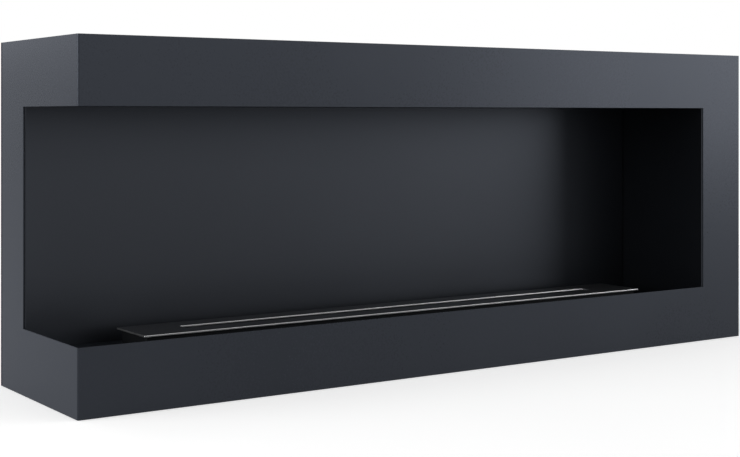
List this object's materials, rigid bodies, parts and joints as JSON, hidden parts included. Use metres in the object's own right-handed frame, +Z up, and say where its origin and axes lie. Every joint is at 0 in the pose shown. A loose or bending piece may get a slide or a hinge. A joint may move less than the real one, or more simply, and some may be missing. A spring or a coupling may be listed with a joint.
{
  "type": "bioethanol fireplace",
  "caption": "Long low bioethanol fireplace in dark powder coated sheet steel, open at the front and left side, with a sunk lift-out slot burner and sliding shutter.",
  "frame": {"origin": "middle of the casing's underside", "axes": "+X along the length to the closed right end, +Y to the rear wall side, +Z up"},
  "size_m": [1, 0.23, 0.4],
  "materials": {
    "casing_powder_coat": "satin dark graphite powder coat",
    "lining_coat": "semi-gloss heat resistant black-grey coat",
    "zinc_steel": "zinc plated sheet",
    "insulation_board": "matt pressed mineral fibre",
    "burner_coat": "satin heat resistant coat with bright cut edges",
    "stainless_steel": "satin rolled stainless sheet",
    "ceramic_fibre": "matt ceramic fibre"
  },
  "bodies": {
    "casing": {"front_fascia": "casing_powder_coat", "right_side_panel": "casing_powder_coat", "top_panel": "casing_powder_coat", "bottom_panel": "casing_powder_coat", "rear_panel": "casing_powder_coat", "rear_panel_screw_01": "zinc_steel", "rear_panel_screw_02": "zinc_steel", "rear_panel_screw_03": "zinc_steel", "rear_panel_screw_04": "zinc_steel", "rear_panel_screw_05": "zinc_steel", "rear_panel_screw_06": "zinc_steel", "rear_panel_screw_07": "zinc_steel", "rear_panel_screw_08": "zinc_steel", "rear_panel_screw_09": "zinc_steel", "rear_panel_screw_10": "zinc_steel", "rear_panel_screw_11": "zinc_steel", "rear_panel_screw_12": "zinc_steel", "hanger_plate_left": "zinc_steel", "rear_stiffener_left": "zinc_steel", "hanger_plate_right": "zinc_steel", "rear_stiffener_right": "zinc_steel", "firebox_back": "lining_coat", "firebox_right_wall": "lining_coat", "firebox_ceiling": "lining_coat", "hearth_floor": "lining_coat", "ceiling_heat_shield": "zinc_steel", "shield_spacer_front_left": "zinc_steel", "shield_spacer_front_right": "zinc_steel", "shield_spacer_rear_left": "zinc_steel", "shield_spacer_rear_right": "zinc_steel", "rear_insulation_board": "insulation_board", "burner_cradle_1": "zinc_steel", "burner_cradle_2": "zinc_steel", "burner_cradle_3": "zinc_steel", "floor_rail_front": "zinc_steel", "floor_rail_rear": "zinc_steel"},
    "burner": {"burner_tank": "burner_coat", "burner_top_plate": "burner_coat", "plate_locator_front_left": "stainless_steel", "plate_locator_front_right": "stainless_steel", "plate_locator_rear_left": "stainless_steel", "plate_locator_rear_right": "stainless_steel", "shutter_guide_1": "stainless_steel", "shutter_guide_2": "stainless_steel", "shutter_guide_3": "stainless_steel", "shutter_guide_4": "stainless_steel", "fibre_retainer": "stainless_steel", "ceramic_fibre_block_1": "ceramic_fibre", "ceramic_fibre_block_2": "ceramic_fibre", "ceramic_fibre_block_3": "ceramic_fibre"},
    "shutter": {"burner_shutter": "stainless_steel", "shutter_lug_left": "stainless_steel", "shutter_lug_right": "stainless_steel"}
  },
  "joints": [
    {"name": "burner_lift", "type": "slide", "parent": "casing", "child": "burner", "axis": [0, 0, 1], "range_m": [0, 0.12]},
    {"name": "burner_shutter_slide", "type": "slide", "parent": "burner", "child": "shutter", "axis": [0, 1, 0], "range_m": [0, 0.018]}
  ]
}
